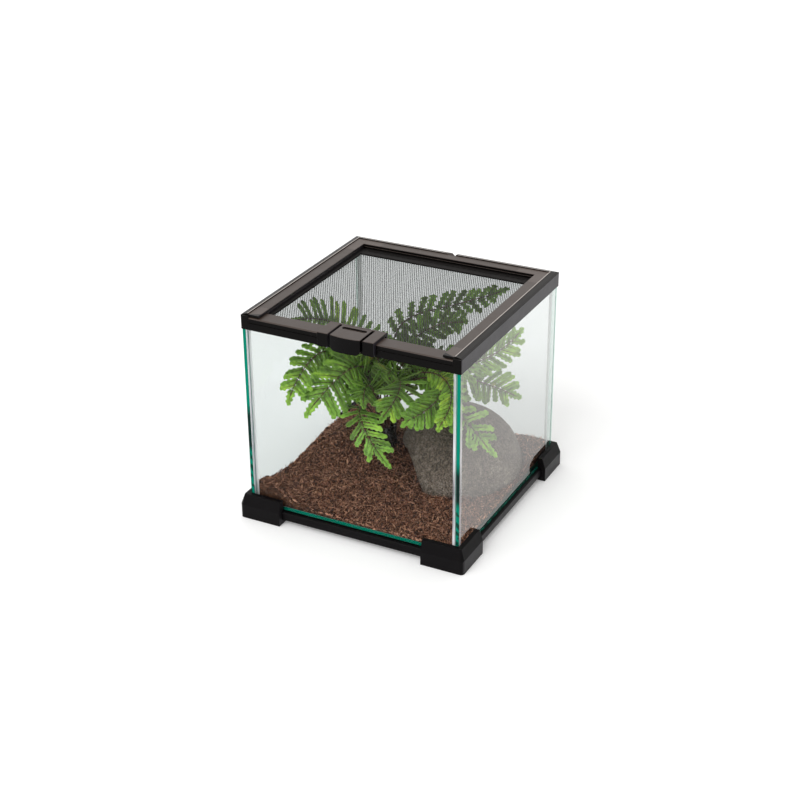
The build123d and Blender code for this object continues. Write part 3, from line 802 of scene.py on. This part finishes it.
#   start xy, rise, control, tip, leaflet length, first leaflet (share of length), spacing, tone (low tones are
#   painted shade on fronds in the middle and under the screen), waviness, turn of the blade, lean, leaflet width to
#   spacing, how much less the leaflets on one side lean
FRONDS = [
    ((-36.9, 18.9), 108, (-52, -45, 102), (-69, -53, 86), 27, 0.34, 7.6, 0.60, 0.15, 0.95, 8, 1.02, 16),
    ((-34.1, 13.0), 33, (-85, 24, 168), (-77, -69, 101), 19, 0.40, 6.8, 0.60, 0.15, 0.80, 10, 0.95, 6),
    ((-39.0, 16.0), 27, (-38, -60, 114), (10, -52, 51), 19, 0.34, 8.4, 0.46, 0.14, 0.95, 18, 0.72, 0),
    ((-27.6, 25.0), 129, (-36, 47, 131), (58, 83, 172), 16, 0.40, 9.0, 0.34, 0.20, 0.95, 14, 0.72, 8),
    ((-30.4, 15.1), 74, (-60, 16, 161), (-90, -48, 164), 22, 0.36, 5.8, 0.62, 0.14, 1.0, 0, 0.80, 0),
    ((-33.7, 25.7), 47, (-9, 94, 86), (90, 42, 92), 21, 0.42, 7.6, 0.50, 0.13, 0.85, 14, 0.85, 0),
    ((-23.4, 24.9), 59, (44, 68, 85), (80, 65, 145), 19, 0.42, 7.6, 0.56, 0.13, 0.85, 14, 0.82, 0),
    ((-24.3, 16.0), 54, (46, 2, 109), (85, -3, 55), 20, 0.46, 10.6, 0.58, 0.14, 0.95, 14, 0.64, 0),
    ((-26.9, 18.8), 80, (65, 29, 122), (54, -47, 95), 15, 0.50, 7.0, 0.74, 0.15, 0.65, 16, 0.86, 0),
    ((-22.1, 20.8), 80, (70, 31, 105), (30, -64, 103), 20, 0.38, 7.2, 0.44, 0.13, 0.80, 16, 0.88, 0),
    ((-27.5, 12.0), 69, (21, -5, 123), (11, -67, 103), 22, 0.36, 7.2, 0.44, 0.13, 0.85, 16, 0.88, 0),
    ((-37.9, 23.2), 83, (-95, 20, 96), (-84, 67, 113), 20, 0.36, 7.4, 0.40, 0.13, 0.70, 12, 0.85, 0),
]
# shorter young fronds that fill the middle, each one part of the frond it springs beside; their low tones are painted
# shade in the middle of the plant
YOUNG = [
    (4, (-29.5, 20.0), 70, (-36, 8, 138), (-38, -16, 130), 18, 0.40, 7.0, 0.15, 0.13, 0.90, 12, 0.85, 0),
    (10, (-26.5, 15.5), 60, (-10, 4, 118), (-5, -24, 122), 19, 0.38, 7.2, 0.15, 0.13, 0.85, 14, 0.85, 0),
    (3, (-25.5, 22.0), 70, (0, 24, 126), (18, 12, 134), 19, 0.40, 7.4, 0.12, 0.13, 0.90, 14, 0.85, 0),
    (3, (-28.0, 23.0), 85, (2, 50, 146), (40, 36, 156), 17, 0.46, 7.4, 0.22, 0.15, 0.90, 16, 0.85, 0),
    (9, (-24.5, 22.5), 50, (16, 30, 108), (34, 4, 122), 19, 0.44, 7.4, 0.18, 0.13, 0.85, 14, 0.85, 0),
    (5, (-26.0, 24.5), 60, (20, 50, 116), (58, 20, 122), 20, 0.44, 7.4, 0.40, 0.13, 0.85, 14, 0.85, 0),
    (2, (-33.5, 12.5), 45, (-36, -8, 112), (-20, -40, 96), 19, 0.40, 7.4, 0.34, 0.13, 0.90, 14, 0.85, 0),
    (1, (-32.0, 17.5), 60, (-70, 0, 150), (-88, -22, 142), 20, 0.42, 6.8, 0.46, 0.13, 0.90, 6, 0.70, 0),
    (0, (-33.0, 14.0), 50, (-46, 0, 120), (-50, -26, 104), 20, 0.42, 7.0, 0.14, 0.13, 0.90, 12, 0.90, 0),
]


def keep_inside(P):
    """Leaves flatten against the glass, the screen, the hide and the bedding."""
    for a in (0, 1):
        v = P[:, a]
        far = np.abs(v) > 86
        P[:, a] = np.where(far, np.sign(v) * (86 + 8.3 * np.tanh((np.abs(v) - 86) / 8.3)), v)
    z = P[:, 2]
    P[:, 2] = np.where(z > 170, 170 + 12.6 * np.tanh((z - 170) / 12.6), z)
    r = cave_radius(P[:, 0], P[:, 1], P[:, 2], 1.2)
    hit = r < 1
    if hit.any():
        c = np.array([CAVE["x"], CAVE["y"], CAVE["z"]])
        P[hit] = c + (P[hit] - c) / r[hit][:, None]
    floor = bed_height(P[:, 0], P[:, 1]) + 1.5
    P[:, 2] = np.maximum(P[:, 2], floor)
    return P


def leaf_material():
    n = Nodes("fern_leaf")
    v = n.coords()
    uv = n.new("ShaderNodeUVMap")
    uv.uv_map = "leaf"
    xy = n.new("ShaderNodeSeparateXYZ")
    n.link(uv.outputs[0], xy.inputs[0])
    along, across = xy.outputs["X"], xy.outputs["Y"]
    tone = n.new("ShaderNodeAttribute")
    tone.attribute_name = "tone"
    # Tone ramp: random tone from frond to frond, with low tones used as painted shade on fronds in the middle and
    # under the screen.
    shade_tone = n.ramp(tone.outputs["Fac"], [(0.0, (0.040, 0.070, 0.010)), (0.3, (0.100, 0.190, 0.025)),
                                         (0.55, (0.175, 0.37, 0.045)), (0.8, (0.275, 0.51, 0.056)), (1.0, (0.40, 0.62, 0.065))])
    mottle = n.ramp(n.noise(v, 190.0, 4.0, 0.6), [(0.34, (0.42, 0.47, 0.42)), (0.5, (0.95, 0.97, 0.95)), (0.66, (1.42, 1.34, 1.25))])
    col = n.mix(0.9, shade_tone, mottle, "MULTIPLY")
    # each lobe is pale at its margin, darker near the stem, with a thin dark rib
    mid = n.math("ABSOLUTE", n.math("SUBTRACT", across, 0.5))
    margin = n.map(mid, 0.26, 0.5, 0.0, 0.42)
    col = n.mix(margin, col, (0.38, 0.62, 0.13))
    root = n.map(along, 0.0, 0.36, 0.6, 0.0)
    col = n.mix(root, col, (0.035, 0.090, 0.014))
    rib = n.math("MULTIPLY", n.map(mid, 0.05, 0.12, 0.85, 0.0), n.map(along, 0.35, 0.9, 1.0, 0.0))
    col = n.mix(rib, col, (0.060, 0.042, 0.014))
    spots = n.map(n.noise(v, 75.0, 3.0, 0.5), 0.68, 0.74, 0.0, 0.5)
    col = n.mix(spots, col, (0.42, 0.38, 0.05))
    p = n.new("ShaderNodeBsdfPrincipled")
    n.link(col, p.inputs["Base Color"])
    n.link(n.map(n.noise(v, 240.0, 3.0, 0.6), 0.3, 0.7, 0.36, 0.54), p.inputs["Roughness"])
    p.inputs["Specular IOR Level"].default_value = 0.3
    veins = n.new("ShaderNodeTexWave", Scale=3.2, Distortion=1.2, Detail=2.0)
    n.link(uv.outputs[0], veins.inputs["Vector"])
    n.link(n.bump(n.mix(0.5, veins.outputs["Fac"], n.noise(v, 700.0, 2.0, 0.5)), 0.35, 0.0004), p.inputs["Normal"])
    return n.done(p.outputs[0])


def stem_material():
    n = Nodes("fern_stem")
    v = n.coords()
    p = n.new("ShaderNodeBsdfPrincipled", Roughness=0.45)
    n.link(n.ramp(n.noise(v, 150.0, 4.0, 0.6), [(0.35, (0.040, 0.017, 0.010)), (0.6, (0.105, 0.045, 0.022)), (0.8, (0.13, 0.080, 0.030))]), p.inputs["Base Color"])
    n.link(n.bump(n.noise(v, 600.0, 3.0, 0.6), 0.4, 0.0003), p.inputs["Normal"])
    return n.done(p.outputs[0])


LEAF, STEM = leaf_material(), stem_material()


LEAF_T = np.array([0, 0.05, 0.11, 0.18, 0.26, 0.34, 0.42, 0.50, 0.58, 0.66, 0.74, 0.81, 0.87, 0.92, 0.96, 0.985, 1.0])
VIEW = np.array([0.414, -0.787, 0.456])          # the way the plant faces
SIDEWAYS = np.array([0.889, 0.458, 0.0])


def leaflet(root, out, fwd, nrm, length, width, waves, droop, tone, r, fill=1.0, tapered=False):
    """One lobe of a frond: broad where it joins the rib, nearly parallel wavy sides, round end."""
    t = LEAF_T
    nw = 5
    if tapered:
        body = np.interp(t, [0, 0.08, 0.25, 0.5, 0.75, 0.92, 1.0], [0.60, 0.90, 1.0, 0.86, 0.70, 0.54, 0.16])
    else:
        body = np.interp(t, [0, 0.05, 0.12, 0.3, 0.6, 0.8, 0.90, 0.96, 1.0],
                         [1.14 / fill, 0.98 / fill ** 0.6, 0.84, 0.82, 0.92, 0.94, 0.82, 0.60, 0.18])
    phase = r.uniform(0, 2 * math.pi)
    beats = max(3.0, length / 4.2)
    grow = np.clip((t - 0.08) * 6, 0, 1)
    wave_a = 1 + grow * waves * 2.0 * np.sin(t * beats * 2 * math.pi + phase)
    wave_b = 1 + grow * waves * 2.0 * np.sin(t * beats * 2 * math.pi + phase + 2.2)
    curve = r.uniform(0.02, 0.16)
    twist = r.normal(0, 0.16)
    P, UV = [], []
    for i, ti in enumerate(t):
        c = root + out * (ti * length) + fwd * (curve * length * ti * ti) - nrm * (droop * length * ti ** 2)
        ang = twist * ti
        f2 = fwd * math.cos(ang) + nrm * math.sin(ang)
        n2 = nrm * math.cos(ang) - fwd * math.sin(ang)
        for j in range(nw):
            s = (j / (nw - 1)) * 2 - 1
            half = width * 0.5 * body[i] * (wave_a[i] if s > 0 else wave_b[i])
            fold = 0.10 * abs(s) * width * 0.5
            ripple = 0.5 * math.sin(ti * beats * 2 * math.pi + phase + s) * s * s * grow[i]
            P.append(c + f2 * (s * half) + n2 * (fold + ripple))
            UV.append((ti, (s + 1) / 2))
    na = len(t)
    F = [(i * nw + j, (i + 1) * nw + j, (i + 1) * nw + j + 1, i * nw + j + 1) for i in range(na - 1) for j in range(nw - 1)]
    return P, F, UV, [tone] * len(P)


def blade(index, start, rise, control, tip, size, first, gap, tint, waves, face, lean0, fill, skew):
    """Points, faces, leaf coordinates and tones of one frond, and its rib as a tube."""
    r = np.random.default_rng(100 + index)
    p0 = np.array([*start, FERN_TOP])
    p1 = p0 + np.array([0, 0, rise])
    p2, p3 = np.array(control, float), np.array(tip, float)
    s = np.linspace(0, 1, 160)[:, None]
    C = (1 - s) ** 3 * p0 + 3 * (1 - s) ** 2 * s * p1 + 3 * (1 - s) * s * s * p2 + s ** 3 * p3
    C[0] += (0, 0, -2)
    T = np.gradient(C, axis=0)
    T /= np.linalg.norm(T, axis=1)[:, None]
    L = np.concatenate([[0], np.cumsum(np.linalg.norm(np.diff(C, axis=0), axis=1))])
    across = np.array([p0[1] - p3[1], p3[0] - p0[0], 0.0])
    across /= np.linalg.norm(across)
    X = across - (T @ across)[:, None] * T
    X /= np.linalg.norm(X, axis=1)[:, None] + 1e-9
    Y = np.cross(T, VIEW)
    Y /= np.linalg.norm(Y, axis=1)[:, None] + 1e-9
    turn = np.sign((X * Y).sum(1).mean()) or 1.0
    X = (1 - face) * X + face * Y * turn
    X -= (X * T).sum(1)[:, None] * T
    X /= np.linalg.norm(X, axis=1)[:, None] + 1e-9
    N = np.cross(T, X)
    if (N @ VIEW).mean() < 0:
        X, N = -X, -N
    total = L[-1]

    def at(d, A):
        return np.array([np.interp(d, L, A[:, k]) for k in range(3)])

    P, F, UV, TONE = [], [], [], []

    def add(part):
        b = len(P)
        P.extend(part[0])
        F.extend(tuple(b + q for q in f) for f in part[1])
        UV.extend(part[2])
        TONE.extend(part[3])

    d = first * total
    end = total - (0.62 if fill > 0.8 else 0.92) * size
    while d < end:
        u = (d - first * total) / (total * (1 - first))
        ends = (0.95, 0.80, 0.64, 0.52) if fill > 1 else (0.86, 0.62, 0.42, 0.30)
        env = np.interp(u, [0, 0.15, 0.5, 0.70, 0.85, 0.94, 1.0], [0.66, 1.0, 1.0, *ends])
        c, tg, sx, nm = at(d, C), at(d, T), at(d, X), at(d, N)
        for hand in (-1, 1):
            tilt = -skew if (sx * hand) @ SIDEWAYS > 0 else skew
            lean = math.radians(lean0 + tilt + 30 * u + r.normal(0, 4))
            lift = r.normal(-0.02, 0.10)
            out = sx * hand * math.cos(lean) + tg * math.sin(lean) + nm * lift
            out /= np.linalg.norm(out)
            fwd = tg * math.cos(lean) - sx * hand * math.sin(lean)
            n2 = np.cross(out, fwd)
            if n2 @ nm < 0:
                n2 = -n2
            off = tg * (gap * (0.22 if hand > 0 else 0.0) + r.normal(0, 0.3))
            ln = size * env * r.uniform(0.84, 1.10)
            wd = gap * fill * (1 - 0.22 * u) * r.uniform(0.95, 1.12)
            # the frond's tone plus random spread; low frond tones are painted shade
            tone = np.clip(tint + r.normal(0, 0.13) + 0.12 * u, 0, 1)
            add(leaflet(c + off, out, fwd, n2, ln, wd, waves, r.uniform(0.0, 0.16), tone, r, fill))
        d += gap * (1 - 0.22 * u)
    c, tg, sx, nm = at(end, C), at(end, T), at(end, X), at(end, N)
    add(leaflet(c, tg, sx, nm, total - end + 0.16 * size, gap * 1.05 * fill, waves * 1.1, 0.05, min(1, tint + 0.12), r, fill, True))
    # rib
    ring, step = 7, range(0, 160, 4)
    SV, SF = [], []
    for i in step:
        u = L[i] / total
        rad = 0.85 * (1 - 0.66 * u) + 0.08
        for q in range(ring):
            g = 2 * math.pi * q / ring
            SV.append(C[i] + N[i] * 0.25 + X[i] * math.cos(g) * rad + N[i] * math.sin(g) * rad)
    m_ = len(step)
    for a in range(m_ - 1):
        for q in range(ring):
            w = (q + 1) % ring
            SF.append((a * ring + q, a * ring + w, (a + 1) * ring + w, (a + 1) * ring + q))
    SF.append(tuple(range(ring - 1, -1, -1)))
    SF.append(tuple((m_ - 1) * ring + q for q in range(ring)))
    return P, F, UV, TONE, SV, SF


def frond(index, *spec):
    parts = [blade(index, *spec)]
    parts += [blade(40 + k, *y[1:]) for k, y in enumerate(YOUNG) if y[0] == index]
    P, F, UV, TONE, SV, SF = [], [], [], [], [], []
    for a in parts:
        b, c = len(P), len(SV)
        P += a[0]
        F += [tuple(b + q for q in f) for f in a[1]]
        UV += a[2]
        TONE += a[3]
        SV += a[4]
        SF += [tuple(c + q for q in f) for f in a[5]]
    ob = new_object(f"fern_leaf_{index + 1:02d}", keep_inside(np.array(P)), F, [LEAF], None, smooth=True)
    uvl = ob.data.uv_layers.new(name="leaf")
    loops = np.zeros(len(ob.data.loops), np.int32)
    ob.data.loops.foreach_get("vertex_index", loops)
    uvl.data.foreach_set("uv", np.array(UV)[loops].ravel())
    at_ = ob.data.attributes.new("tone", "FLOAT", "POINT")
    at_.data.foreach_set("value", np.array(TONE, np.float32))
    m = ob.modifiers.new("thick", "SOLIDIFY")
    m.thickness = 0.36 * MM
    m.offset = 0
    bake_modifiers(ob)
    new_object(f"fern_stem_{index + 1:02d}", keep_inside(np.array(SV)), SF, [STEM], "tank", smooth=True)
    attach(ob, "tank")
    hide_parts(f"fern_frond_{index + 1:02d}")
    return ob


for i, spec in enumerate(FRONDS):
    frond(i, *spec)

# -------------------------------------------------------------- floor, light
n = Nodes("studio_floor")
v = n.coords()
p = n.new("ShaderNodeBsdfPrincipled", Roughness=0.75)
n.link(n.ramp(n.noise(v, 3.0, 2.0, 0.5), [(0.3, (0.90, 0.90, 0.90)), (0.7, (0.93, 0.93, 0.93))]), p.inputs["Base Color"])
p.inputs["Specular IOR Level"].default_value = 0.1
p.inputs["Emission Color"].default_value = (1.0, 1.0, 1.0, 1.0)
p.inputs["Emission Strength"].default_value = 0.14
floor_mat = n.done(p.outputs[0])
me = bpy.data.meshes.new("studio_floor")
me.from_pydata([(-6, -6, -0.0003), (6, -6, -0.0003), (6, 6, -0.0003), (-6, 6, -0.0003)], [], [(0, 1, 2, 3)])
me.materials.append(floor_mat)
floor = bpy.data.objects.new("studio_floor", me)
bpy.context.scene.collection.objects.link(floor)

world = bpy.data.worlds.new("studio")
bpy.context.scene.world = world
world.use_nodes = True
wt = world.node_tree
wt.nodes.clear()
wo = wt.nodes.new("ShaderNodeOutputWorld")
bg = wt.nodes.new("ShaderNodeBackground")
tc = wt.nodes.new("ShaderNodeTexCoord")
dot = wt.nodes.new("ShaderNodeVectorMath")
dot.operation = "DOT_PRODUCT"
dot.inputs[1].default_value = (-0.41, 0.79, 0.455)
mr = wt.nodes.new("ShaderNodeMapRange")
mr.inputs["From Min"].default_value = -0.2
mr.inputs["From Max"].default_value = 1.0
mr.inputs["To Min"].default_value = 0.52
mr.inputs["To Max"].default_value = 1.15
wt.links.new(tc.outputs["Generated"], dot.inputs[0])
wt.links.new(dot.outputs["Value"], mr.inputs["Value"])
wt.links.new(mr.outputs[0], bg.inputs["Strength"])
bg.inputs["Color"].default_value = (1.0, 0.995, 0.985, 1.0)
wt.links.new(bg.outputs[0], wo.inputs["Surface"])


lamp = bpy.data.lights.new("key_light", "SUN")
lamp.energy = 1.75
lamp.angle = math.radians(40)
key = bpy.data.objects.new("key_light", lamp)
key.rotation_euler = Vector((0.12, 0.74, -0.66)).to_track_quat("-Z", "Y").to_euler()
bpy.context.scene.collection.objects.link(key)
